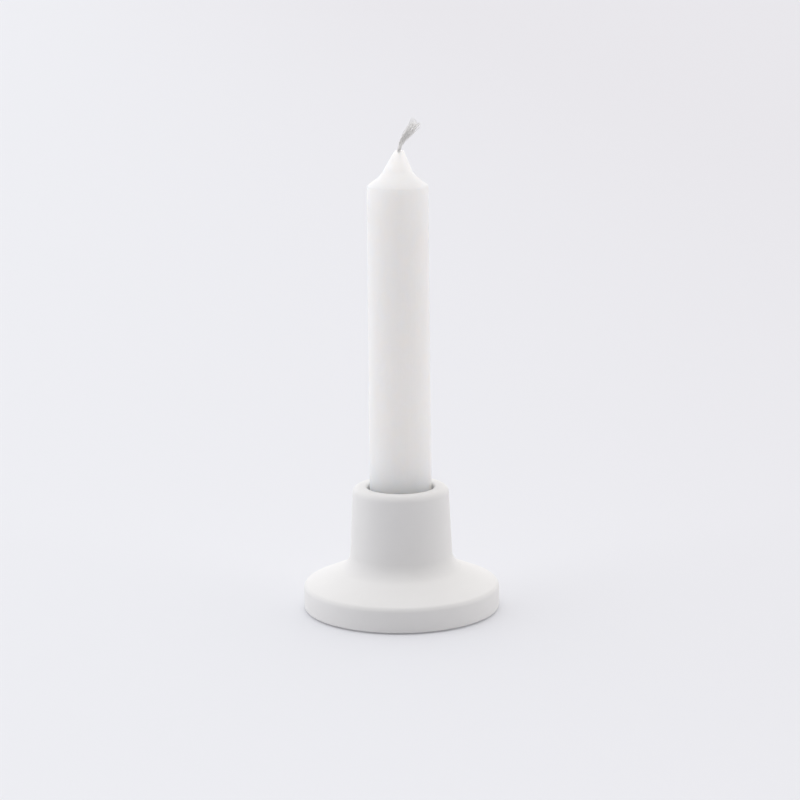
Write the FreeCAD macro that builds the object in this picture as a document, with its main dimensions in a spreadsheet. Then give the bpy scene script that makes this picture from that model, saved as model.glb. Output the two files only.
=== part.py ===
"""A small turned candlestick with its candle.

Millimetres, +Z up. The origin is on the surface that the candlestick stands on, on the axis of its socket.
The holder is a foot and a neck turned from wood, joined by a tenon, a housed flange and one screw from below.
The socket has a thin steel liner held by a small screw. A pad under the foot lifts its edge off the table.
The candle stands in the liner and lifts straight out.
"""

import FreeCAD, Part
import math
import os
import re

import Sketcher
from FreeCAD import Placement, Rotation, Vector

# Driving dimensions in millimetres and degrees. Heights are above the surface that the object stands on.
SIZES = {
    # foot
    "foot_dia": (69.0, "foot across its side"),
    "foot_clear": (0.6, "gap under the foot's edge"),
    "edge_height": (9.0, "height where the foot's side and its sloping top would meet"),
    "foot_slope": (23.4, "slope of the foot's top, degrees"),
    "edge_round": (2.0, "round of the foot's upper edge"),
    "sole_round": (0.5, "round of the foot's lower edge"),
    # pad
    "pad_dia": (63.2, "cork pad"),
    "pad_thick": (1.4, "cork pad"),
    "pad_slack": (0.2, "gap all round the pad in its recess"),
    # neck
    "holder_height": (44.2, "height of the rim"),
    "neck_dia": (33.7, "neck across its rim, before the rim is rounded"),
    "neck_taper": (2.8, "taper of the neck's side, degrees"),
    "flare_round": (6.5, "hollow between the neck and the foot"),
    "rim_round": (2.4, "round of the rim's outer edge"),
    "mouth_round": (1.0, "round of the socket's mouth"),
    # joint between the neck and the foot
    "flange_dia": (46.0, "flange of the neck, let into the foot"),
    "flange_deep": (3.0, "depth of the flange's straight edge"),
    "tenon_dia": (18.0, "tenon of the neck"),
    "tenon_foot": (5.4, "height of the tenon's lower end"),
    "glue_room": (0.4, "space for glue under the tenon"),
    # socket and its liner
    "socket_dia": (23.4, "bore in the wood"),
    "socket_deep": (25.0, "depth of the bore in the wood"),
    "cup_wall": (0.35, "sheet of the liner"),
    "cup_drop": (3.0, "depth of the liner's edge below the rim"),
    "cup_corner": (1.0, "inner corner of the liner's floor"),
    "dimple_dia": (6.0, "dimple in the liner's floor, for the screw head"),
    "dimple_hole": (3.0, "hole in the liner's dimple"),
    # screws
    "small_shank": (2.9, "small screw, across its thread"),
    "small_long": (5.2, "small screw"),
    "large_head": (6.8, "large screw head"),
    "large_shank": (3.5, "large screw, across its thread"),
    "large_long": (11.4, "large screw"),
    "pilot_spare": (0.2, "pilot hole beyond a screw's point"),
    "thread_pitch": (1.2, "both screws"),
    "thread_deep": (0.35, "both screws"),
    "slot_wide": (0.8, "driver slot of both screws"),
    "slot_deep": (0.7, "driver slot of both screws"),
    # candle
    "candle_dia": (22.0, "candle across its base"),
    "candle_top": (21.2, "candle across its shoulder"),
    "candle_gap": (0.05, "candle above the liner's floor"),
    "candle_body": (130.65, "candle from its base to its shoulder"),
    "base_round": (0.8, "round of the candle's lower edge"),
    "shoulder_round": (0.8, "round of the candle's shoulder"),
    "tip_long": (12.1, "tip of the candle above its shoulder"),
    "tip_dia": (3.1, "top of the tip"),
    "tip_slope": (36.0, "slope of the tip beside the shoulder, degrees"),
    "tip_steep": (63.5, "slope of the tip's upper end, degrees"),
    "tip_hollow": (8.0, "hollow between the tip's two slopes"),
    # wick
    "wick_dia": (1.5, "wick in the wax"),
    "wick_bend": (42.0, "turn of the wick away from upright, degrees"),
    "wick_curve": (6.0, "radius of that turn"),
    "wick_fray": (8.6, "length of the straight, fraying end"),
    "fray_dia": (4.4, "frayed end"),
}

AXIS = None  # stands for a corner's radius when the corner lies on the turning axis
GROUND = None  # stands for a corner's height when the corner lies on the origin plane
FULL_TURN = 360.0
SHEET = "sizes"

# Radii and heights that several pieces share, as expressions on the sheet.
FOOT_R = "foot_dia / 2"
FLANGE_R = "flange_dia / 2"
TENON_R = "tenon_dia / 2"
SOCKET_R = "socket_dia / 2"
PAD_ROOM_R = "pad_dia / 2 + pad_slack"
WICK_R = "wick_dia / 2"
SLOPE = "tan(foot_slope * 1deg)"
TAPER = "tan(neck_taper * 1deg)"
SLOPE_AT_FLANGE = f"edge_height + ({FOOT_R} - {FLANGE_R}) * {SLOPE}"
HOUSING_FLOOR = f"{SLOPE_AT_FLANGE} - flange_deep"
MORTISE_FLOOR = "tenon_foot - glue_room"
SOCKET_FLOOR = "holder_height - socket_deep"
CUP_FLOOR = f"{SOCKET_FLOOR} + cup_wall"
CANDLE_BASE = f"{CUP_FLOOR} + candle_gap"
SHOULDER = f"{CANDLE_BASE} + candle_body"
WAX_TOP = f"{SHOULDER} + tip_long"

# The neck's side and the foot's top would meet here, before the hollow between them is rounded.
MEETING_R = (
    f"(neck_dia / 2 + (holder_height - edge_height - {FOOT_R} * {SLOPE}) * {TAPER})"
    f" / (1 - {SLOPE} * {TAPER})"
)
MEETING_Z = f"edge_height + ({FOOT_R} - {MEETING_R}) * {SLOPE}"

# The tip's two slopes would meet here, before the hollow between them is rounded.
TIP_RISE = "tan(tip_slope * 1deg)"
TIP_RUN = "tan(90deg - tip_steep * 1deg)"
TIP_MEETING_R = (
    f"(tip_dia / 2 + (tip_long - candle_top / 2 * {TIP_RISE}) * {TIP_RUN})"
    f" / (1 - {TIP_RISE} * {TIP_RUN})"
)
TIP_MEETING_Z = f"{SHOULDER} + (candle_top / 2 - {TIP_MEETING_R}) * {TIP_RISE}"

# The small screw's head fills the liner's dimple, whose sides slope at 45 degrees.
ROOT_TWO = math.sqrt(2)
SMALL_HEAD_R = f"dimple_dia / 2 - cup_wall * ({ROOT_TWO:.6f} - 1)"


def bound(text):
    """The expression with each of the sheet's aliases in it read from the sheet."""
    return re.sub(
        r"[a-z_]+", lambda word: f"{SHEET}.{word[0]}" if word[0] in SIZES else word[0], text
    )


def make_sheet(doc):
    """The spreadsheet of driving dimensions: a note, a plain number and an alias in each row."""
    sheet = doc.addObject("Spreadsheet::Sheet", SHEET)
    for row, (alias, (value, note)) in enumerate(SIZES.items(), start=1):
        sheet.set(f"A{row}", note)
        sheet.set(f"B{row}", str(value))
        sheet.setAlias(f"B{row}", alias)
    doc.recompute()
    return sheet


def new_body(doc, label):
    """An empty body, named after its piece."""
    body = doc.addObject("PartDesign::Body", label)
    body.Label = label
    return body


def new_sketch(body, name, plane):
    """An empty sketch on one of the body's own origin planes."""
    sketch = body.newObject("Sketcher::SketchObject", name)
    origin_plane = next(item for item in body.Origin.OriginFeatures if item.Role == plane)
    sketch.AttachmentSupport = (origin_plane, [""])
    sketch.MapMode = "FlatFace"
    return sketch


def pin_point(sketch, geometry, end, name, across, up):
    """Fix a point of the sketch at two expressions, or on an origin axis where one of them is None."""
    origin, origin_point, across_axis, up_axis = -1, 1, -1, -2
    for kind, side, text, axis in (
        ("DistanceX", "across", across, up_axis),
        ("DistanceY", "up", up, across_axis),
    ):
        if text is None:
            sketch.addConstraint(Sketcher.Constraint("PointOnObject", geometry, end, axis))
            continue
        link = Sketcher.Constraint(kind, origin, origin_point, geometry, end, 1.0)
        index = sketch.addConstraint(link)
        sketch.renameConstraint(index, f"{name}_{side}")
        sketch.setExpression(f".Constraints.{name}_{side}", bound(text))


def outline_sketch(body, outline):
    """A closed outline beside the axis. Each named corner has a radius and a height, as expressions."""
    sketch = new_sketch(body, "outline", "XZ_Plane")
    count = len(outline)
    turns = [math.tau * i / count for i in range(count)]
    ring = [Vector(2 + math.cos(turn), 2 + math.sin(turn), 0) for turn in turns]
    for i in range(count):
        sketch.addGeometry(Part.LineSegment(ring[i], ring[(i + 1) % count]))
    for i in range(count):
        sketch.addConstraint(Sketcher.Constraint("Coincident", i, 2, (i + 1) % count, 1))
    for i, (name, (radius, height)) in enumerate(outline.items()):
        pin_point(sketch, i, 1, name, radius, height)
    return sketch


def turn_body(doc, label, outline):
    """A body turned from an outline, with the sketch that it came from."""
    body = new_body(doc, label)
    sketch = outline_sketch(body, outline)
    turned = body.newObject("PartDesign::Revolution", "turned")
    turned.Profile = (sketch, [""])
    turned.ReferenceAxis = (sketch, ["V_Axis"])
    turned.Angle = FULL_TURN
    doc.recompute()
    return body, sketch


def ease_corner(doc, body, sketch, outline, corner, size):
    """Round the ring that a corner of the outline left on the body, to a size given as an expression."""
    point = sketch.Geometry[list(outline).index(corner)].StartPoint
    close = 1e-3
    edges = [
        f"Edge{i}"
        for i, edge in enumerate(body.Tip.Shape.Edges, start=1)
        if isinstance(edge.Curve, Part.Circle)
        and abs(edge.Curve.Radius - point.x) < close
        and abs(edge.Curve.Center.z - point.y) < close
    ]
    if not edges:
        raise ValueError(f"{body.Label}: no ring at {corner}")
    base = body.Tip
    rounded = body.newObject("PartDesign::Fillet", f"{corner}_round")
    rounded.Base = (base, edges)
    rounded.setExpression("Radius", bound(size))
    doc.recompute()


def make_foot(doc):
    """The foot: a low disc with a sloping top, housed for the neck and recessed below for the pad."""
    outline = {
        "sole": (FOOT_R, "foot_clear"),
        "shoulder": (FOOT_R, "edge_height"),
        "housing_edge": (FLANGE_R, SLOPE_AT_FLANGE),
        "housing_corner": (FLANGE_R, HOUSING_FLOOR),
        "mortise_edge": (TENON_R, HOUSING_FLOOR),
        "mortise_corner": (TENON_R, MORTISE_FLOOR),
        "hole_top": ("large_shank / 2", MORTISE_FLOOR),
        "hole_foot": ("large_shank / 2", "pad_thick + (large_head - large_shank) / 2"),
        "head_edge": ("large_head / 2", "pad_thick"),
        "recess_corner": (PAD_ROOM_R, "pad_thick"),
        "recess_edge": (PAD_ROOM_R, "foot_clear"),
    }
    body, sketch = turn_body(doc, "foot", outline)
    ease_corner(doc, body, sketch, outline, "shoulder", "edge_round")
    ease_corner(doc, body, sketch, outline, "sole", "sole_round")
    return body


def make_neck(doc):
    """The neck: a short stem with the socket in its top, a flange and a tenon below."""
    small_end = f"{CUP_FLOOR} - small_long - pilot_spare"
    large_end = "pad_thick + large_long + pilot_spare"
    dimple_floor = f"{SOCKET_FLOOR} - (dimple_dia - dimple_hole) / 2"
    outline = {
        "tenon_edge": (TENON_R, "tenon_foot"),
        "tenon_root": (TENON_R, HOUSING_FLOOR),
        "flange_corner": (FLANGE_R, HOUSING_FLOOR),
        "flange_edge": (FLANGE_R, SLOPE_AT_FLANGE),
        "flare": (MEETING_R, MEETING_Z),
        "rim": ("neck_dia / 2", "holder_height"),
        "mouth": (SOCKET_R, "holder_height"),
        "socket_corner": (SOCKET_R, SOCKET_FLOOR),
        "dimple_edge": ("dimple_dia / 2", SOCKET_FLOOR),
        "dimple_foot": ("dimple_hole / 2", dimple_floor),
        "small_pilot": ("small_shank / 2", dimple_floor),
        "small_pilot_foot": ("small_shank / 2", small_end),
        "small_pilot_end": (AXIS, small_end),
        "large_pilot_end": (AXIS, large_end),
        "large_pilot_top": ("large_shank / 2", large_end),
        "large_pilot": ("large_shank / 2", "tenon_foot"),
    }
    body, sketch = turn_body(doc, "neck", outline)
    ease_corner(doc, body, sketch, outline, "flare", "flare_round")
    ease_corner(doc, body, sketch, outline, "rim", "rim_round")
    ease_corner(doc, body, sketch, outline, "mouth", "mouth_round")
    ease_corner(doc, body, sketch, outline, "socket_corner", "cup_corner + cup_wall")
    return body


def make_cup(doc):
    """The liner: a thin drawn cup whose floor dips in the middle for the screw head."""
    inner_r = f"{SOCKET_R} - cup_wall"
    cup_top = "holder_height - cup_drop"
    dip = "(dimple_dia - dimple_hole) / 2"
    outline = {
        "floor_corner": (SOCKET_R, SOCKET_FLOOR),
        "edge_outside": (SOCKET_R, cup_top),
        "edge_inside": (inner_r, cup_top),
        "floor_inside": (inner_r, CUP_FLOOR),
        "dimple_inside": (SMALL_HEAD_R, CUP_FLOOR),
        "hole_inside": ("dimple_hole / 2", f"{SOCKET_FLOOR} - {dip} + cup_wall * {ROOT_TWO:.6f}"),
        "hole_outside": ("dimple_hole / 2", f"{SOCKET_FLOOR} - {dip}"),
        "dimple_outside": ("dimple_dia / 2", SOCKET_FLOOR),
    }
    body, sketch = turn_body(doc, "candle_cup", outline)
    ease_corner(doc, body, sketch, outline, "floor_inside", "cup_corner")
    ease_corner(doc, body, sketch, outline, "floor_corner", "cup_corner + cup_wall")
    return body


def make_screw(doc, label, head_r, shank, length, threads):
    """A countersunk wood screw, head up at the origin. Rings stand for the turns of its thread."""
    shank_r = f"{shank} / 2"
    core_r = f"{shank_r} - thread_deep"
    outline = {
        "head_centre": (AXIS, GROUND),
        "head_edge": (head_r, GROUND),
        "head_foot": (shank_r, f"0 - ({head_r} - {shank_r})"),
    }
    point_top = f"0 - ({length} - {shank_r})"
    for i in reversed(range(threads)):
        crest = f"{point_top} + {i} * thread_pitch"
        outline[f"root_{i}"] = (core_r, f"{crest} + thread_pitch / 2")
        outline[f"crest_{i}"] = (shank_r, crest)
    outline["point"] = (AXIS, f"0 - {length}")
    body, _ = turn_body(doc, label, outline)
    whole = body.Tip.Shape.Volume
    slot = new_sketch(body, "slot_outline", "XY_Plane")
    corners = {
        "left_front": (f"0 - {head_r} - slot_wide", "0 - slot_wide / 2"),
        "right_front": (f"{head_r} + slot_wide", "0 - slot_wide / 2"),
        "right_back": (f"{head_r} + slot_wide", "slot_wide / 2"),
        "left_back": (f"0 - {head_r} - slot_wide", "slot_wide / 2"),
    }
    starts = [Vector(-5, -1, 0), Vector(5, -1, 0), Vector(5, 1, 0), Vector(-5, 1, 0)]
    for i, start in enumerate(starts):
        slot.addGeometry(Part.LineSegment(start, starts[(i + 1) % len(starts)]))
    for i in range(len(starts)):
        slot.addConstraint(Sketcher.Constraint("Coincident", i, 2, (i + 1) % len(starts), 1))
    for i, (name, (across, up)) in enumerate(corners.items()):
        pin_point(slot, i, 1, name, across, up)
    cut = body.newObject("PartDesign::Pocket", "slot")
    cut.Profile = (slot, [""])
    cut.setExpression("Length", bound("slot_deep"))
    doc.recompute()
    if body.Tip.Shape.Volume >= whole:
        raise ValueError(f"{label}: the slot cut nothing")
    return body


def make_small_screw(doc):
    """The screw that holds the liner to the bottom of the socket."""
    body = make_screw(doc, "cup_screw", f"({SMALL_HEAD_R})", "small_shank", "small_long", 2)
    body.setExpression(".Placement.Base.z", bound(CUP_FLOOR))
    return body


def make_large_screw(doc):
    """The screw from below that pulls the foot against the neck."""
    body = make_screw(doc, "foot_screw", "(large_head / 2)", "large_shank", "large_long", 6)
    body.Placement = Placement(Vector(), Rotation(Vector(1, 0, 0), 180))
    body.setExpression(".Placement.Base.z", bound("pad_thick"))
    return body


def make_pad(doc):
    """The cork pad that the candlestick stands on."""
    outline = {
        "centre_below": (AXIS, GROUND),
        "edge_below": ("pad_dia / 2", GROUND),
        "edge_above": ("pad_dia / 2", "pad_thick"),
        "centre_above": (AXIS, "pad_thick"),
    }
    body, _ = turn_body(doc, "base_pad", outline)
    return body


def make_candle(doc):
    """The wax: a slightly tapered stick with a hollow-sided tip, bored for the wick."""
    outline = {
        "bore_foot": (WICK_R, CANDLE_BASE),
        "base": ("candle_dia / 2", CANDLE_BASE),
        "shoulder": ("candle_top / 2", SHOULDER),
        "tip_hollow": (TIP_MEETING_R, TIP_MEETING_Z),
        "tip_top": ("tip_dia / 2", WAX_TOP),
        "bore_top": (WICK_R, WAX_TOP),
    }
    body, sketch = turn_body(doc, "candle", outline)
    ease_corner(doc, body, sketch, outline, "base", "base_round")
    ease_corner(doc, body, sketch, outline, "tip_hollow", "tip_hollow")
    ease_corner(doc, body, sketch, outline, "shoulder", "shoulder_round")
    return body


def make_wick(doc):
    """The wick: straight through the wax, then bent over, with a fraying end that widens."""
    body = new_body(doc, "wick")
    core = body.newObject("PartDesign::AdditiveCylinder", "core")
    core.setExpression("Radius", bound(WICK_R))
    core.setExpression("Height", bound("candle_body + tip_long"))
    core.setExpression(".Placement.Base.z", bound(CANDLE_BASE))
    doc.recompute()

    section = new_sketch(body, "section", "XY_Plane")
    section.addGeometry(Part.Circle(Vector(0, 0, 0), Vector(0, 0, 1), 1.0))
    section.addConstraint(Sketcher.Constraint("Coincident", 0, 3, -1, 1))
    width = section.addConstraint(Sketcher.Constraint("Radius", 0, 1.0))
    section.renameConstraint(width, "wick_radius")
    section.setExpression(".Constraints.wick_radius", bound(WICK_R))
    section.setExpression(".AttachmentOffset.Base.z", bound(WAX_TOP))

    across = "wick_curve * (1 - cos(wick_bend * 1deg))"
    up = f"{WAX_TOP} + wick_curve * sin(wick_bend * 1deg)"
    route = new_sketch(body, "route", "XZ_Plane")
    circle = Part.Circle(Vector(5, 150, 0), Vector(0, 0, 1), 5)
    route.addGeometry(Part.ArcOfCircle(circle, math.radians(140), math.radians(180)))
    pin_point(route, 0, 2, "bend_start", AXIS, WAX_TOP)
    pin_point(route, 0, 1, "bend_end", across, up)
    curve = route.addConstraint(Sketcher.Constraint("Radius", 0, 5.0))
    route.renameConstraint(curve, "bend_radius")
    route.setExpression(".Constraints.bend_radius", bound("wick_curve"))
    doc.recompute()
    bend = body.newObject("PartDesign::AdditivePipe", "bend")
    bend.Profile = (section, [""])
    bend.Spine = (route, ["Edge1"])
    doc.recompute()

    fray = body.newObject("PartDesign::AdditiveCone", "fray")
    fray.setExpression("Radius1", bound(WICK_R))
    fray.setExpression("Radius2", bound("fray_dia / 2"))
    fray.setExpression("Height", bound("wick_fray"))
    fray.Placement = Placement(Vector(), Rotation(Vector(0, 1, 0), SIZES["wick_bend"][0]))
    fray.setExpression(".Placement.Rotation.Angle", bound("wick_bend * 1deg"))
    fray.setExpression(".Placement.Base.x", bound(across))
    fray.setExpression(".Placement.Base.z", bound(up))
    doc.recompute()
    return body


def check(doc, bodies):
    """Stop if any object failed to compute or any piece isn't one valid solid."""
    for item in doc.Objects:
        if "Invalid" in item.State or "Error" in item.State:
            raise ValueError(f"{item.Label} failed: {item.State}")
    for body in bodies:
        if body.Shape.isNull() or not body.Shape.isValid() or len(body.Shape.Solids) != 1:
            raise ValueError(f"{body.Label} is not one valid solid")


def main():
    """Build every piece, check it and write it to its own file."""
    doc = FreeCAD.newDocument("candlestick")
    make_sheet(doc)
    bodies = [
        make_foot(doc),
        make_neck(doc),
        make_cup(doc),
        make_small_screw(doc),
        make_large_screw(doc),
        make_pad(doc),
        make_candle(doc),
        make_wick(doc),
    ]
    doc.recompute()
    check(doc, bodies)
    os.makedirs("parts", exist_ok=True)
    for body in bodies:
        body.Shape.exportStep(f"parts/{body.Label}.step")
        print(f"{body.Label}: {body.Shape.Volume:.1f} mm3")


main()
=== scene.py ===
"""The looks of a small white candlestick and its candle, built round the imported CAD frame.

Lengths are in metres, with +Z up and the origin on the surface that the candlestick stands on.
"""

import logging
import math
import random
from collections.abc import Iterable
from dataclasses import dataclass
from enum import Enum
from typing import Any

import bmesh
import bpy
from mathutils import Matrix, Vector, noise
from mathutils.geometry import interpolate_bezier


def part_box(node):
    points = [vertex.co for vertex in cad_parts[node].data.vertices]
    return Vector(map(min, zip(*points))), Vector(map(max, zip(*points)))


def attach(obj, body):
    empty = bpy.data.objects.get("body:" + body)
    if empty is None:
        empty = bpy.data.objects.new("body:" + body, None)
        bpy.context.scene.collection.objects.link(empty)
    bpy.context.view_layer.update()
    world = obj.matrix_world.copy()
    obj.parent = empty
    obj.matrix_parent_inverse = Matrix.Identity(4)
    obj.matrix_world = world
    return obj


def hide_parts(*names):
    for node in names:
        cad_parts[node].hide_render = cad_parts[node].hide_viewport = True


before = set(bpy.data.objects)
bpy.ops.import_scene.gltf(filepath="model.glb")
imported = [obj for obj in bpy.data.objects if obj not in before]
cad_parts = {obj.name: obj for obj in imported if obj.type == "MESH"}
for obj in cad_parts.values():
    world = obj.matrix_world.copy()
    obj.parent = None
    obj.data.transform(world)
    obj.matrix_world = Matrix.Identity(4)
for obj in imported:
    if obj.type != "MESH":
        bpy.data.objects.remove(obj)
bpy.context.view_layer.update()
BOXES = {name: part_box(name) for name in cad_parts}

MM = 0.001
SPIN_STEPS = 192
ROUND_SEGMENTS = 10
SHARP_ANGLE = math.radians(28)
MERGE_DISTANCE = 0.0005 * MM
GOLDEN_ANGLE = math.radians(137.5)
SOCKET_DEEP = 25.0 * MM
DIMPLE_RADIUS = 3.0 * MM
CORK_GRANULE = 1.3 * MM

Colour = tuple[float, float, float, float]
Span = tuple[float, float]
Path = list[tuple[Vector, float]]

log = logging.getLogger("candlestick")


class Body(Enum):
    """The bodies that pieces ride on."""

    HOLDER = "holder"
    CANDLE = "candle"


class Slot(Enum):
    """The record's material slots, by name."""

    PAINT = "painted_wood"
    LINER = "liner_steel"
    CORK = "cork"
    WAX = "wax"
    COTTON = "wick_cotton"


# ---------------------------------------------------------------- shader maths


class Socket:
    """An output of a shader node, with which sums are written as plain arithmetic."""

    def __init__(self, tree: "Tree", link: bpy.types.NodeSocket) -> None:
        """Wrap an output.

        Args:
            tree: The node tree that the output is in.
            link: The output itself.
        """
        self.tree = tree
        self.link = link

    def maths(self, operation: str, *others: "Socket | float") -> "Socket":
        """Put a Math node after this output.

        Args:
            operation: The Math node's operation.
            others: Its further inputs, as numbers or sockets.

        Returns:
            The Math node's output.
        """
        values = dict(enumerate((self, *others)))
        return self.tree.node("ShaderNodeMath", {"operation": operation}, values)

    def __add__(self, other: "Socket | float") -> "Socket":
        """The sum."""
        return self.maths("ADD", other)

    def __radd__(self, other: float) -> "Socket":
        """The sum, with the number first."""
        return self.maths("ADD", other)

    def __sub__(self, other: "Socket | float") -> "Socket":
        """The difference."""
        return self.maths("SUBTRACT", other)

    def __rsub__(self, other: float) -> "Socket":
        """A number less this value."""
        return (self * -1.0) + other

    def __mul__(self, other: "Socket | float") -> "Socket":
        """The product."""
        return self.maths("MULTIPLY", other)

    def __rmul__(self, other: float) -> "Socket":
        """The product, with the number first."""
        return self.maths("MULTIPLY", other)

    def __pow__(self, power: float) -> "Socket":
        """This value raised to a power."""
        return self.maths("POWER", power)

    def around(self, middle: float, width: float) -> "Socket":
        """This value, which runs from 0 to 1, made to run over a width with that middle."""
        return self * width + (middle - width / 2)

    def ramp(self, low: float, high: float) -> "Socket":
        """A smooth step.

        Args:
            low: The value up to which the step is 0.
            high: The value from which it is 1.

        Returns:
            The step.
        """
        settings = {"interpolation_type": "SMOOTHSTEP"}
        values = {"Value": self, "From Min": low, "From Max": high}
        return self.tree.node("ShaderNodeMapRange", settings, values)


class Tree:
    """The node tree of a material or a world."""

    def __init__(self, owner: bpy.types.Material | bpy.types.World) -> None:
        """Empty a node tree and keep it.

        Args:
            owner: The material or the world that the tree is of.
        """
        owner.use_nodes = True
        self.nodes = owner.node_tree.nodes
        self.links = owner.node_tree.links
        self.nodes.clear()

    def node(
        self, kind: str, settings: dict[str, Any], values: dict[Any, Any], output: str | int = 0
    ) -> Socket:
        """Add a node.

        Args:
            kind: The node's type.
            settings: Its own settings, which are made first.
            values: Numbers, colours or sockets for its inputs, by name or place.
            output: The output to hand back, by name or place.

        Returns:
            That output.
        """
        made = self.nodes.new(kind)
        for name, value in settings.items():
            setattr(made, name, value)
        for name, value in values.items():
            if isinstance(value, Socket):
                self.links.new(value.link, made.inputs[name])
            else:
                made.inputs[name].default_value = value
        return Socket(self, made.outputs[output])

    def place(self) -> Socket:
        """The point being shaded, in the piece's own coordinates."""
        return self.node("ShaderNodeTexCoord", {}, {}, "Object")

    def parts(self, vector: Socket) -> tuple[Socket, Socket, Socket]:
        """Take a vector apart.

        Args:
            vector: The vector, or a colour.

        Returns:
            Its three parts.
        """
        first = self.node("ShaderNodeSeparateXYZ", {}, {"Vector": vector})
        outputs = first.link.node.outputs
        return first, Socket(self, outputs[1]), Socket(self, outputs[2])

    def stretched(self, vector: Socket, along: float) -> Socket:
        """A place whose height counts for that part only, which draws a pattern out upwards."""
        return self.node("ShaderNodeMapping", {}, {"Vector": vector, "Scale": (1.0, 1.0, along)})

    def cloud(self, vector: Socket, grain: float, detail: float = 2.0) -> Socket:
        """Make soft noise.

        Args:
            vector: Where it is read.
            grain: The size of its spots, in metres.
            detail: How many finer layers it has.

        Returns:
            The noise, from 0 to 1.
        """
        values = {"Vector": vector, "Scale": 1.0 / grain, "Detail": detail}
        return self.node("ShaderNodeTexNoise", {}, values)

    def blend(self, factor: Socket, low: Colour, high: Colour) -> Socket:
        """Mix two colours.

        Args:
            factor: How much of the second there is, from 0 to 1.
            low: The colour at 0.
            high: The colour at 1.

        Returns:
            The mixed colour.
        """
        first, second, mixed = 6, 7, 2  # where a Mix node has its two colours and its result
        values = {0: factor, first: low, second: high}
        return self.node("ShaderNodeMix", {"data_type": "RGBA"}, values, mixed)

    def bump(self, height: Socket, depth: float) -> Socket:
        """The normal of a surface whose height varies by depth metres."""
        return self.node("ShaderNodeBump", {}, {"Height": height, "Distance": depth, "Strength": 1.0})

    def surface(self, values: dict[str, Any]) -> None:
        """Finish a material with a Principled shader that has these inputs."""
        shader = self.node("ShaderNodeBsdfPrincipled", {}, values)
        self.finish("ShaderNodeOutputMaterial", shader)

    def finish(self, kind: str, shader: Socket) -> None:
        """Link a shader to an output node of that kind."""
        made = self.nodes.new(kind)
        self.links.new(shader.link, made.inputs["Surface"])


def grey(level: float, warmth: float = 0.0) -> Colour:
    """A grey of that linear level, warmer where warmth is above 0 and cooler below."""
    return (level * (1 + warmth), level, level * (1 - warmth), 1.0)


# ---------------------------------------------------------------- finishes


@dataclass(frozen=True)
class MattPaint:
    """Sprayed matt white paint over turned, filled wood."""

    level: float = 0.855
    warmth: float = 0.012
    mottling: Span = (0.985, 1.01)
    mottle_grain: float = 9.0 * MM
    roughness: float = 0.62
    roughness_width: float = 0.08
    shine: float = 0.38
    spray_grain: float = 0.35 * MM
    spray_depth: float = 0.012 * MM
    ring_pitch: float = 0.5 * MM
    ring_part: float = 0.12
    ring_patch: float = 14.0 * MM
    ring_shown: Span = (0.45, 0.75)

    def make(self) -> bpy.types.Material:
        """Mix the paint, with its spray texture, faint turning rings and uneven sheen.

        Returns:
            The material.
        """
        material = bpy.data.materials.new("matt_paint")
        tree = Tree(material)
        place = tree.place()
        across, along, up = tree.parts(place)
        mottle = tree.cloud(place, self.mottle_grain, detail=3.0)
        spray = tree.cloud(place, self.spray_grain)
        radius = (across * across + along * along) ** 0.5
        rings = ((radius + up) * (math.tau / self.ring_pitch)).maths("SINE")
        shown = tree.cloud(place, self.ring_patch).ramp(*self.ring_shown)
        low, high = (grey(self.level * part, self.warmth) for part in self.mottling)
        tree.surface(
            {
                "Base Color": tree.blend(mottle, low, high),
                "Roughness": mottle.around(self.roughness, self.roughness_width),
                "Normal": tree.bump(spray + rings * shown * self.ring_part, self.spray_depth),
                "Specular IOR Level": self.shine,
            }
        )
        return material


@dataclass(frozen=True)
class DrawnSteel:
    """Thin sheet steel, drawn to a cup, with fine lines up its sides."""

    clean: Colour = (0.62, 0.61, 0.59, 1.0)
    smudged: Colour = grey(0.5, 0.02)
    roughness: float = 0.23
    line_roughness: float = 0.14
    line_grain: float = 0.12 * MM
    line_stretch: float = 0.02
    line_depth: float = 0.01 * MM
    smudge_roughness: float = 0.1
    smudge_grain: float = 5.0 * MM

    def make(self) -> bpy.types.Material:
        """Make the liner's steel, with drawing lines and a dull, uneven shine.

        Returns:
            The material.
        """
        material = bpy.data.materials.new("drawn_steel")
        tree = Tree(material)
        place = tree.place()
        lines = tree.cloud(tree.stretched(place, self.line_stretch), self.line_grain, detail=3.0)
        smudge = tree.cloud(place, self.smudge_grain, detail=4.0)
        dullness = lines * self.line_roughness + smudge * self.smudge_roughness
        tree.surface(
            {
                "Base Color": tree.blend(smudge, self.smudged, self.clean),
                "Metallic": 1.0,
                "Roughness": dullness + self.roughness,
                "Normal": tree.bump(lines, self.line_depth),
            }
        )
        return material


@dataclass(frozen=True)
class ZincPlate:
    """The zinc plating of the screws."""

    bright: Colour = (0.66, 0.67, 0.68, 1.0)
    dull: Colour = grey(0.52, 0.01)
    roughness: float = 0.3
    roughness_width: float = 0.2
    crystal: float = 0.3 * MM
    crystal_depth: float = 0.008 * MM

    def make(self) -> bpy.types.Material:
        """Make the plating, with its fine crystal grain.

        Returns:
            The material.
        """
        material = bpy.data.materials.new("zinc_plate")
        tree = Tree(material)
        crystals = tree.cloud(tree.place(), self.crystal, detail=3.0)
        tree.surface(
            {
                "Base Color": tree.blend(crystals, self.dull, self.bright),
                "Metallic": 1.0,
                "Roughness": crystals.around(self.roughness, self.roughness_width),
                "Normal": tree.bump(crystals, self.crystal_depth),
            }
        )
        return material


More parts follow.
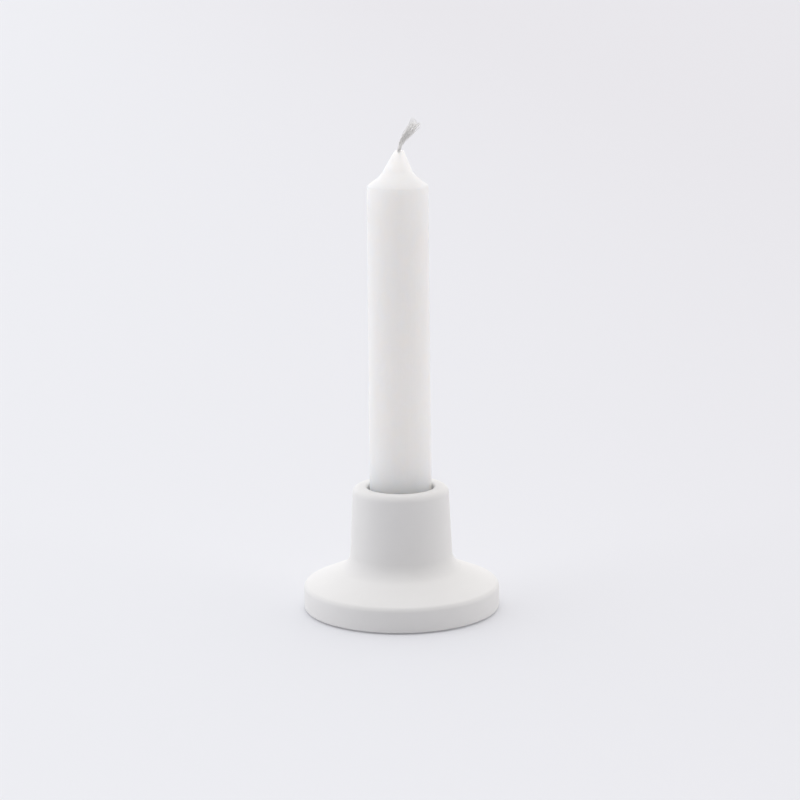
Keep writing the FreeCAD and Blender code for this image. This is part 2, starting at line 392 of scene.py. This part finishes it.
@dataclass(frozen=True)
class PressedCork:
    """Cork sheet, pressed from granules."""

    light: Colour = (0.56, 0.37, 0.2, 1.0)
    dark: Colour = (0.2, 0.1, 0.045, 1.0)
    joint_width: float = 0.09
    joint_light: float = 0.45
    granule_part: float = 0.55
    fleck_part: float = 0.5
    fleck_grain: float = 0.35 * MM
    roughness: float = 0.9
    fleck_shine: float = 0.12
    joint_relief: float = 0.7
    relief: float = 0.12 * MM
    shine: float = 0.25

    def make(self) -> bpy.types.Material:
        """Make the cork, with granules of different browns and dark, sunken joints.

        Returns:
            The material.
        """
        material = bpy.data.materials.new("pressed_cork")
        tree = Tree(material)
        place = tree.place()
        cell = {"Vector": place, "Scale": 1.0 / CORK_GRANULE, "Randomness": 1.0}
        tint = tree.node("ShaderNodeTexVoronoi", {}, cell, "Color")
        browns, _, _ = tree.parts(tint)
        edge = tree.node("ShaderNodeTexVoronoi", {"feature": "DISTANCE_TO_EDGE"}, cell, "Distance")
        joint = edge.ramp(0.0, self.joint_width)
        fleck = tree.cloud(place, self.fleck_grain, detail=4.0)
        grain = browns * self.granule_part + fleck * self.fleck_part
        lightness = grain * (joint * (1.0 - self.joint_light) + self.joint_light)
        height = joint * self.joint_relief + fleck * self.fleck_part
        tree.surface(
            {
                "Base Color": tree.blend(lightness, self.dark, self.light),
                "Roughness": self.roughness - fleck * self.fleck_shine,
                "Normal": tree.bump(height, self.relief),
                "Specular IOR Level": self.shine,
            }
        )
        return material


@dataclass(frozen=True)
class CandleWax:
    """White moulded candle wax, which lets light through."""

    clear: Colour = grey(0.815 * 0.975, 0.006)
    bloomed: Colour = grey(0.815 * 1.01, 0.0024)
    bloom_grain: float = 5.0 * MM
    bloom_stretch: float = 0.35
    roughness: float = 0.42
    roughness_width: float = 0.16
    shine: float = 0.4
    line_grain: float = 0.5 * MM
    line_stretch: float = 0.01
    line_part: float = 0.35
    dent_grain: float = 2.2 * MM
    dent_depth: float = 0.05 * MM
    light_depth: float = 44.0 * MM
    light_reach: tuple[float, float, float] = (1.0, 0.86, 0.74)

    def make(self) -> bpy.types.Material:
        """Cast the wax, with light scattered inside, a cloudy bloom and fine mould lines.

        Returns:
            The material.
        """
        material = bpy.data.materials.new("candle_wax")
        tree = Tree(material)
        place = tree.place()
        bloom = tree.cloud(tree.stretched(place, self.bloom_stretch), self.bloom_grain, detail=4.0)
        lines = tree.cloud(tree.stretched(place, self.line_stretch), self.line_grain)
        dents = tree.cloud(place, self.dent_grain)
        tree.surface(
            {
                "Base Color": tree.blend(bloom, self.clear, self.bloomed),
                "Roughness": bloom.around(self.roughness, self.roughness_width),
                "Normal": tree.bump(lines * self.line_part + dents, self.dent_depth),
                "Subsurface Weight": 1.0,
                "Subsurface Radius": self.light_reach,
                "Subsurface Scale": self.light_depth,
                "Specular IOR Level": self.shine,
            }
        )
        return material


@dataclass(frozen=True)
class WickCotton:
    """Bleached cotton yarn with a breath of wax in it."""

    light: Colour = (0.99, 0.982, 0.965, 1.0)
    dark: Colour = (0.92, 0.9, 0.875, 1.0)
    fibre_grain: float = 0.12 * MM
    fibre_stretch: float = 0.25
    fibre_part: float = 0.6
    fibre_depth: float = 0.03 * MM
    soil_grain: float = 1.6 * MM
    soil_part: float = 0.5
    roughness: float = 0.82
    roughness_width: float = 0.2
    sheen: float = 0.3

    def make(self) -> bpy.types.Material:
        """Make the yarn, with fibres along the wick, of slightly different greys.

        Returns:
            The material.
        """
        material = bpy.data.materials.new("wick_cotton")
        tree = Tree(material)
        place = tree.place()
        fibre = tree.cloud(tree.stretched(place, self.fibre_stretch), self.fibre_grain, detail=3.0)
        soiling = tree.cloud(place, self.soil_grain)
        lightness = fibre * self.fibre_part + soiling * self.soil_part
        tree.surface(
            {
                "Base Color": tree.blend(lightness, self.dark, self.light),
                "Roughness": fibre.around(self.roughness, self.roughness_width),
                "Normal": tree.bump(fibre, self.fibre_depth),
                "Sheen Weight": self.sheen,
            }
        )
        return material


# ---------------------------------------------------------------- turned shapes


@dataclass(frozen=True)
class Corner:
    """A corner of a turned outline, with the round that it is given."""

    radius: float
    height: float
    round: float = 0.0


def round_corner(mesh: bmesh.types.BMesh, point: bmesh.types.BMVert, radius: float) -> None:
    """Round one corner of a wire outline to an arc.

    Args:
        mesh: The bmesh that holds the outline.
        point: The corner.
        radius: The arc's radius.
    """
    before, after = (edge.other_vert(point).co - point.co for edge in point.link_edges)
    turn = math.pi - before.angle(after)
    bmesh.ops.bevel(
        mesh,
        geom=[point],
        offset=radius * math.tan(turn / 2),
        offset_type="OFFSET",
        affect="VERTICES",
        segments=ROUND_SEGMENTS,
        profile=0.5,
        material=-1,
    )


def cut_long_edges(mesh: bmesh.types.BMesh, longest: float) -> None:
    """Divide the long edges of a wire outline.

    Args:
        mesh: The bmesh that holds the outline.
        longest: The length above which an edge is divided.
    """
    for edge in [item for item in mesh.edges if item.calc_length() > longest]:
        cuts = math.ceil(edge.calc_length() / longest) - 1
        bmesh.ops.subdivide_edges(mesh, edges=[edge], cuts=cuts)


def shade(mesh: bmesh.types.BMesh) -> None:
    """Shade a mesh smooth, apart from its sharp edges.

    Args:
        mesh: The mesh.
    """
    for face in mesh.faces:
        face.smooth = True
    for edge in mesh.edges:
        edge.smooth = edge.calc_face_angle(0.0) < SHARP_ANGLE


def as_object(mesh: bmesh.types.BMesh, name: str) -> bpy.types.Object:
    """Put a finished bmesh in the scene as an object at the origin.

    Args:
        mesh: The bmesh, which is freed.
        name: The object's name.

    Returns:
        The object.
    """
    shade(mesh)
    data = bpy.data.meshes.new(name)
    mesh.to_mesh(data)
    mesh.free()
    piece = bpy.data.objects.new(name, data)
    bpy.context.scene.collection.objects.link(piece)
    return piece


def turned(outline: list[Corner], longest: float = 4.0 * MM) -> bmesh.types.BMesh:
    """Turn an outline round the Z axis.

    Args:
        outline: Its corners in order. It is closed unless its two ends lie on the axis.
        longest: The longest edge left along the outline.

    Returns:
        The turned shape, with its normals outwards.
    """
    mesh = bmesh.new()
    points = [mesh.verts.new((corner.radius, 0.0, corner.height)) for corner in outline]
    for first, second in zip(points, points[1:]):
        mesh.edges.new((first, second))
    if outline[0].radius > 0 or outline[-1].radius > 0:
        mesh.edges.new((points[-1], points[0]))
    for point, corner in zip(points, outline):
        if corner.round > 0:
            round_corner(mesh, point, corner.round)
    cut_long_edges(mesh, longest)
    bmesh.ops.spin(
        mesh,
        geom=mesh.verts[:] + mesh.edges[:],
        cent=(0, 0, 0),
        axis=(0, 0, 1),
        dvec=(0, 0, 0),
        angle=math.tau,
        steps=SPIN_STEPS,
        use_merge=True,
        use_duplicate=False,
    )
    bmesh.ops.remove_doubles(mesh, verts=mesh.verts, dist=MERGE_DISTANCE)
    bare = [edge for edge in mesh.edges if not edge.link_faces]
    bmesh.ops.delete(mesh, geom=bare, context="EDGES")
    bmesh.ops.recalc_face_normals(mesh, faces=mesh.faces)
    return mesh


def dress(
    piece: bpy.types.Object, material: bpy.types.Material, body: Body, nodes: Iterable[str]
) -> bpy.types.Object:
    """Give a new piece its material, the body it rides on and the CAD nodes it stands for.

    Args:
        piece: The new piece.
        material: Its material.
        body: The body that it rides on.
        nodes: The CAD nodes that it replaces.

    Returns:
        The piece.
    """
    piece.data.materials.clear()
    piece.data.materials.append(material)
    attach(piece, body.value)
    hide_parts(*nodes)
    log.info("%s: %d faces", piece.name, len(piece.data.polygons))
    return piece


# ---------------------------------------------------------------- the holder


@dataclass
class Holder:
    """The foot and the neck, turned from wood and painted together."""

    paint: bpy.types.Material
    edge_height: float = 9.0 * MM
    edge_round: float = 2.0 * MM
    sole_round: float = 0.5 * MM
    flange_deep: float = 3.0 * MM
    tenon_radius: float = 9.0 * MM
    glue_room: float = 0.4 * MM
    screw_radius: float = 1.75 * MM
    screw_head: float = 3.4 * MM
    pad_slack: float = 0.2 * MM
    neck_radius: float = 16.85 * MM
    neck_taper: float = math.radians(2.8)
    flare_round: float = 6.5 * MM
    rim_round: float = 2.4 * MM
    mouth_round: float = 1.0 * MM
    socket_round: float = 1.35 * MM
    small_pilot: float = 1.45 * MM
    wood_between_pilots: float = 1.2 * MM

    def slope(self) -> float:
        """How much the foot's top rises for each metre inwards."""
        foot, neck = BOXES["foot"][1], BOXES["neck"][1]
        return (foot.z - self.edge_height) / (foot.x - neck.x)

    def build_foot(self) -> bpy.types.Object:
        """Turn the foot: sloping top, housing and mortise above, a recess for the pad below.

        Returns:
            The foot.
        """
        low, high = BOXES["foot"]
        _, pad = BOXES["base_pad"]
        neck_low, neck_high = BOXES["neck"]
        floor = high.z - self.flange_deep
        mortise = neck_low.z - self.glue_room
        recess = pad.x + self.pad_slack
        outline = [
            Corner(high.x, low.z, self.sole_round),
            Corner(high.x, self.edge_height, self.edge_round),
            Corner(neck_high.x, high.z),
            Corner(neck_high.x, floor),
            Corner(self.tenon_radius, floor),
            Corner(self.tenon_radius, mortise),
            Corner(self.screw_radius, mortise),
            Corner(self.screw_radius, pad.z + self.screw_head - self.screw_radius),
            Corner(self.screw_head, pad.z),
            Corner(recess, pad.z),
            Corner(recess, low.z),
        ]
        piece = as_object(turned(outline), "foot_turned")
        return dress(piece, self.paint, Body.HOLDER, ["foot"])

    def build_neck(self) -> bpy.types.Object:
        """Turn the neck: flare, tapered side, thick rim, socket, flange and tenon.

        Returns:
            The neck.
        """
        low, high = BOXES["neck"]
        flange_top = BOXES["foot"][1].z
        small_low, _ = BOXES["cup_screw"]
        _, large_high = BOXES["foot_screw"]
        cup_low, cup_high = BOXES["candle_cup"]
        slope, taper = self.slope(), math.tan(self.neck_taper)
        rise = high.z - flange_top - high.x * slope
        flare = (self.neck_radius + rise * taper) / (1 - slope * taper)
        floor = high.z - SOCKET_DEEP
        past_point = (small_low.z - large_high.z - self.wood_between_pilots) / 2
        outline = [
            Corner(self.tenon_radius, low.z),
            Corner(self.tenon_radius, flange_top - self.flange_deep),
            Corner(high.x, flange_top - self.flange_deep),
            Corner(high.x, flange_top),
            Corner(flare, flange_top + (high.x - flare) * slope, self.flare_round),
            Corner(self.neck_radius, high.z, self.rim_round),
            Corner(cup_high.x, high.z, self.mouth_round),
            Corner(cup_high.x, floor, self.socket_round),
            Corner(DIMPLE_RADIUS, floor),
            Corner(DIMPLE_RADIUS - (floor - cup_low.z), cup_low.z),
            Corner(self.small_pilot, cup_low.z),
            Corner(self.small_pilot, small_low.z - past_point),
            Corner(0.0, small_low.z - past_point),
            Corner(0.0, large_high.z + past_point),
            Corner(self.screw_radius, large_high.z + past_point),
            Corner(self.screw_radius, low.z),
        ]
        piece = as_object(turned(outline), "neck_turned")
        return dress(piece, self.paint, Body.HOLDER, ["neck"])


@dataclass
class Hardware:
    """The liner of the socket and the screws."""

    liner: bpy.types.Material
    plating: bpy.types.Material
    wall: float = 0.35 * MM
    corner: float = 1.0 * MM
    lip_round: float = 0.12 * MM

    def build_liner(self) -> bpy.types.Object:
        """Turn the drawn cup, with its dimpled floor and eased lip.

        Returns:
            The liner.
        """
        low, high = BOXES["candle_cup"]
        floor = BOXES["neck"][1].z - SOCKET_DEEP
        hole = DIMPLE_RADIUS - (floor - low.z)
        inner = high.x - self.wall
        slant = self.wall * math.sqrt(2)
        outline = [
            Corner(high.x, floor, self.corner + self.wall),
            Corner(high.x, high.z, self.lip_round),
            Corner(inner, high.z, self.lip_round),
            Corner(inner, floor + self.wall, self.corner),
            Corner(DIMPLE_RADIUS + self.wall - slant, floor + self.wall),
            Corner(hole, low.z + slant),
            Corner(hole, low.z),
            Corner(DIMPLE_RADIUS, floor),
        ]
        piece = as_object(turned(outline), "liner_drawn")
        return dress(piece, self.liner, Body.HOLDER, ["candle_cup"])

    def dress_screws(self) -> None:
        """Plate both screws, whose CAD shapes stay."""
        for name in ("cup_screw", "foot_screw"):
            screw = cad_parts[name]
            screw.data.materials.clear()
            screw.data.materials.append(self.plating)
            log.info("%s: plated", name)


@dataclass
class Pad:
    """The cork pad under the foot."""

    cork: bpy.types.Material
    edge_round: float = 0.25 * MM
    relief: float = 0.05 * MM
    ring_step: float = 1.0 * MM

    def build(self) -> bpy.types.Object:
        """Turn the pad and rough up its edge and underside a little, as cut cork is.

        Returns:
            The pad.
        """
        _, high = BOXES["base_pad"]
        outline = [
            Corner(0.0, 0.0),
            Corner(high.x, 0.0, self.edge_round),
            Corner(high.x, high.z),
            Corner(0.0, high.z),
        ]
        mesh = turned(outline, self.ring_step)
        for point in mesh.verts:
            if point.co.z < high.z / 2:
                sunk = noise.noise(point.co / CORK_GRANULE) * self.relief
                point.co.z += max(sunk, 0.0)
        piece = as_object(mesh, "pad_cork")
        return dress(piece, self.cork, Body.HOLDER, ["base_pad"])


# ---------------------------------------------------------------- the candle


@dataclass(frozen=True)
class Yarn:
    """The sizes of the wick's braid and of its free end, which frays into filaments.

    The route is the free end's Bezier curve: how far across, and how far above the wax, in mm.
    """

    plies: int = 3
    ply_radius: float = 0.27 * MM
    ply_spread: float = 0.4 * MM
    ply_pitch: float = 6.0 * MM
    ply_step: float = 0.6 * MM
    route: tuple[tuple[float, float], ...] = ((0.5, -1.0), (0.55, 3.5), (4.4, 5.9), (7.4, 10.4))
    filaments: int = 45
    filament_points: int = 22
    filament_radius: float = 0.11 * MM
    filament_thinning: float = 0.35
    twists: float = 1.9
    braid_across: float = 0.34 * MM
    braid_through: float = 0.2 * MM
    loose_from: float = 0.2
    bundle: float = 0.28 * MM
    fan_across: float = 1.9 * MM
    fan_through: float = 0.85 * MM
    fan_power: float = 0.8
    stray: float = 0.45 * MM
    uneven_end: float = 0.12
    seed: int = 11


@dataclass
class Candle:
    """The moulded wax and the braided wick in it."""

    wax: bpy.types.Material
    cotton: bpy.types.Material
    yarn: Yarn = Yarn()
    shoulder_radius: float = 10.6 * MM
    shoulder_round: float = 0.8 * MM
    base_round: float = 0.8 * MM
    tip_long: float = 12.1 * MM
    tip_radius: float = 1.55 * MM
    tip_slope: float = math.radians(36)
    tip_steep: float = math.radians(63.5)
    tip_hollow: float = 8.0 * MM
    bore: float = 0.75 * MM
    dimple: float = 1.2 * MM
    top_shift: float = 0.7 * MM
    top_round: float = 0.35 * MM
    waver: float = 0.05 * MM
    waver_size: float = 14.0 * MM
    ring_step: float = 1.5 * MM

    def build_wax(self) -> bpy.types.Object:
        """Turn the wax, then let its surface waver and its tip lean, as a moulded candle's do.

        Returns:
            The wax.
        """
        low, high = BOXES["candle"]
        shoulder = high.z - self.tip_long
        rise, run = math.tan(self.tip_slope), 1 / math.tan(self.tip_steep)
        above = self.tip_long - self.shoulder_radius * rise
        meeting = (self.tip_radius + above * run) / (1 - rise * run)
        outline = [
            Corner(0.0, low.z + self.dimple),
            Corner(self.bore, low.z),
            Corner(high.x, low.z, self.base_round),
            Corner(self.shoulder_radius, shoulder, self.shoulder_round),
            Corner(meeting, shoulder + (self.shoulder_radius - meeting) * rise, self.tip_hollow),
            Corner(self.tip_radius, high.z, self.top_round),
            Corner(self.bore, high.z),
            Corner(0.0, high.z - self.dimple),
        ]
        mesh = turned(outline, self.ring_step)
        for point in mesh.verts:
            outwards = Vector((point.co.x, point.co.y, 0.0))
            if outwards.length > self.tip_radius:
                depth = (noise.noise(point.co / self.waver_size) - 0.5) * self.waver
                point.co += outwards.normalized() * depth
            point.co.x += self.shift(point.co.z)
        piece = as_object(mesh, "wax_moulded")
        return dress(piece, self.wax, Body.CANDLE, ["candle"])

    def shift(self, height: float) -> float:
        """Find how far to one side the tip leans.

        Args:
            height: The height that is asked about.

        Returns:
            The distance to +X.
        """
        top = BOXES["candle"][1].z
        part = min(max((height - top + self.tip_long) / self.tip_long, 0.0), 1.0)
        return self.top_shift * part * part

    def build_wick(self) -> bpy.types.Object:
        """Braid the wick through the wax, and fray its free end into filaments.

        Returns:
            The wick.
        """
        curve = bpy.data.curves.new("wick_yarn", "CURVE")
        curve.dimensions = "3D"
        curve.bevel_depth = 1.0
        curve.bevel_resolution = 1
        curve.use_fill_caps = True
        for ply in range(self.yarn.plies):
            self.add_strand(curve, self.ply_path(ply))
        draw = random.Random(self.yarn.seed)
        for number in range(self.yarn.filaments):
            self.add_strand(curve, self.filament_path(number, draw))
        source = bpy.data.objects.new("wick_yarn", curve)
        data = bpy.data.meshes.new_from_object(source)
        bpy.data.objects.remove(source)
        mesh = bmesh.new()
        mesh.from_mesh(data)
        bpy.data.meshes.remove(data)
        piece = as_object(mesh, "wick_braided")
        return dress(piece, self.cotton, Body.CANDLE, ["wick"])

    def add_strand(self, curve: bpy.types.Curve, path: Path) -> None:
        """Add one strand to the yarn.

        Args:
            curve: The curve that holds every strand.
            path: The strand's points, each with the strand's radius there.
        """
        strand = curve.splines.new("NURBS")
        strand.points.add(len(path) - 1)
        for point, (where, radius) in zip(strand.points, path):
            point.co = (*where, 1.0)
            point.radius = radius
        strand.order_u = 4
        strand.use_endpoint_u = True
        strand.resolution_u = 2

    def ply_path(self, ply: int) -> Path:
        """Lay one ply of the braid, from the candle's base to the top of the wax.

        Args:
            ply: Which ply it is.

        Returns:
            Its points, each with its radius there.
        """
        low, high = BOXES["candle"]
        yarn = self.yarn
        count = int((high.z - low.z) / yarn.ply_step)
        path = []
        for i in range(count + 1):
            height = low.z + (high.z - low.z) * i / count
            turn = math.tau * (height / yarn.ply_pitch + ply / yarn.plies)
            side = Vector((math.sin(turn), math.sin(2 * turn) / 2, 0.0)) * yarn.ply_spread
            path.append((side + Vector((self.shift(height), 0.0, height)), yarn.ply_radius))
        return path

    def filament_path(self, number: int, draw: random.Random) -> Path:
        """Lay one filament of the free end: braided at the wax, fanned out where it ends.

        Args:
            number: Which filament it is.
            draw: Where its small irregularities come from.

        Returns:
            Its points, each with its radius there.
        """
        top = BOXES["candle"][1].z
        yarn = self.yarn
        knots = [Vector((across * MM, 0.0, top + up * MM)) for across, up in yarn.route]
        centre = interpolate_bezier(*knots, yarn.filament_points)
        last = len(centre) - 1
        phase = number % yarn.plies / yarn.plies
        angle, ring = number * GOLDEN_ANGLE, math.sqrt((number + 0.5) / yarn.filaments)
        end = 1.0 - yarn.uneven_end * draw.random()
        stray = Vector([draw.uniform(-1, 1) for _ in range(3)]) * yarn.stray
        path = []
        for i, middle in enumerate(centre):
            part = i / last
            if part > end:
                break
            ahead = centre[min(i + 1, last)] - centre[max(i - 1, 0)]
            flat = Vector((ahead.z, 0.0, -ahead.x)).normalized()
            turn = math.tau * (part * yarn.twists + phase)
            loose = min(max((part - yarn.loose_from) / (1 - yarn.loose_from), 0.0), 1.0)
            wide = yarn.bundle + yarn.fan_across * loose ** yarn.fan_power
            deep = yarn.bundle + yarn.fan_through * loose
            across = math.sin(turn) * yarn.braid_across * (1 - loose) + math.cos(angle) * ring * wide
            through = math.sin(2 * turn) * yarn.braid_through * (1 - loose) + math.sin(angle) * ring * deep
            where = middle + flat * across + Vector((0.0, through, 0.0)) + stray * loose ** 2
            path.append((where, yarn.filament_radius * (1.0 - yarn.filament_thinning * loose)))
        return path


# ---------------------------------------------------------------- the studio


@dataclass
class Studio:
    """A pale floor, soft light from a sky that stands for white studio walls, and the camera.

    Each span says where a smooth step starts and ends: in metres on the floor, and in parts of the
    sky's radius above it. The floor's colour carries painted shade: lighter and cooler on the left,
    darker and warmer to the right and far away, and the slant is how much that painted shade counts
    the way across and along. The floor's glow is painted light, which lightens the shadows round the foot.
    """

    floor_size: float = 16.0
    floor_gap: float = 0.02 * MM
    floor_level: float = 0.668
    # Painted light: the floor's own glow lightens the shadows round the foot.
    floor_painted_glow: float = 0.2
    # Painted shade: the floor's tint is lighter on the left and darker on the right, as the light falls.
    floor_painted_light_left: tuple[float, float, float] = (1.01, 1.02, 1.06)
    floor_painted_shade_right: tuple[float, float, float] = (0.95, 0.94, 0.975)
    floor_shade_slant: tuple[float, float] = (1.2, 0.16)
    floor_shade_span: Span = (-0.35, 0.7)
    wall: Colour = (0.8, 0.8, 0.83, 1.0)
    sky: float = 1.16
    sky_right: Colour = (1.0, 0.985, 0.975, 1.0)
    sky_left: Colour = (0.985, 0.99, 1.012, 1.0)
    left_more: float = 0.21
    horizon: float = 1.06
    height_less: float = 0.14
    front_less: float = 0.98
    front_edge: Span = (0.45, 0.6)
    front_top: Span = (0.64, 0.8)
    key_more: float = 0.7
    key_edge: Span = (-0.25, 0.2)
    key_bottom: Span = (0.76, 0.92)
    camera_back: float = 0.900
    camera_up: float = 0.268
    camera_tilt: float = 0.2113
    camera_turn: float = 0.0001
    camera_roll: float = 0.010
    lens: float = 118.6
    far_clip: float = 100.0

    def build(self) -> None:
        """Make the floor, the sky and the camera."""
        self.build_floor()
        self.build_sky()
        self.build_camera()

    def build_floor(self) -> None:
        """Lay a floor that reaches past the picture, a hair below the pad so that they don't coincide."""
        mesh = bmesh.new()
        bmesh.ops.create_grid(mesh, x_segments=4, y_segments=4, size=self.floor_size / 2)
        bmesh.ops.translate(mesh, verts=mesh.verts, vec=(0.0, 0.0, -self.floor_gap))
        floor = as_object(mesh, "floor")
        material = bpy.data.materials.new("pale_floor")
        tree = Tree(material)
        across, along, _ = tree.parts(tree.place())
        # Painted shade: the floor's colour darkens towards the right and the far side, as the light falls off
        # there.
        painted_shade = (across * self.floor_shade_slant[0] + along * self.floor_shade_slant[1]).ramp(*self.floor_shade_span)
        left, right = (
            (*(part * self.floor_level for part in tint), 1.0) for tint in (self.floor_painted_light_left, self.floor_painted_shade_right)
        )
        tree.surface(
            {
                "Base Color": tree.blend(painted_shade, left, right),
                "Roughness": 0.9,
                "Specular IOR Level": 0.1,
                # Painted light: the floor glows in its painted-shade colour, though it is no lamp, which
                # lightens the shadows round the foot.
                "Emission Color": tree.blend(painted_shade, left, right),
                "Emission Strength": self.floor_painted_glow,
            }
        )
        floor.data.materials.append(material)

    def build_sky(self) -> None:
        """Light the scene from all round, most from high on the camera's side, least from behind it.

        The camera itself sees a plain wall.
        """
        world = bpy.data.worlds.new("soft_studio")
        bpy.context.scene.world = world
        tree = Tree(world)
        direction = tree.node("ShaderNodeTexCoord", {}, {}, "Generated")
        across, along, up = tree.parts(direction)
        front = (along * -1.0).ramp(*self.front_edge) * (1.0 - up.ramp(*self.front_top))
        left = (across * -1.0).ramp(-1.0, 1.0)
        key = (along * -1.0).ramp(*self.key_edge) * up.ramp(*self.key_bottom)
        strength = (self.sky + self.left_more * (left - 0.5)) * (self.horizon - self.height_less * up)
        strength = strength * (1.0 - self.front_less * front) * (1.0 + self.key_more * key)
        colour = tree.blend(left, self.sky_right, self.sky_left)
        light = tree.node("ShaderNodeBackground", {}, {"Color": colour, "Strength": strength})
        wall = tree.node("ShaderNodeBackground", {}, {"Color": self.wall, "Strength": 1.0})
        seen = tree.node("ShaderNodeLightPath", {}, {}, "Is Camera Ray")
        shader = tree.node("ShaderNodeMixShader", {}, {0: seen, 1: light, 2: wall})
        tree.finish("ShaderNodeOutputWorld", shader)

    def build_camera(self) -> None:
        """Place the camera in front, a little above, with its long lens."""
        lens = bpy.data.cameras.new("camera")
        lens.lens = self.lens
        lens.clip_end = self.far_clip
        camera = bpy.data.objects.new("camera", lens)
        bpy.context.scene.collection.objects.link(camera)
        aim = (
            Matrix.Rotation(-self.camera_turn, 4, "Z")
            @ Matrix.Rotation(math.pi / 2 - self.camera_tilt, 4, "X")
            @ Matrix.Rotation(-self.camera_roll, 4, "Z")
        )
        camera.matrix_world = Matrix.Translation((0.0, -self.camera_back, self.camera_up)) @ aim
        bpy.context.scene.camera = camera


def main() -> None:
    """Build every piece, then the studio round them."""
    logging.basicConfig(level=logging.INFO, format="%(name)s: %(message)s")
    bpy.context.scene.view_settings.view_transform = "Standard"
    holder = Holder(MattPaint().make())
    holder.build_foot()
    holder.build_neck()
    hardware = Hardware(DrawnSteel().make(), ZincPlate().make())
    hardware.build_liner()
    hardware.dress_screws()
    Pad(PressedCork().make()).build()
    candle = Candle(CandleWax().make(), WickCotton().make())
    candle.build_wax()
    candle.build_wick()
    Studio().build()


if __name__ == "__main__":
    main()
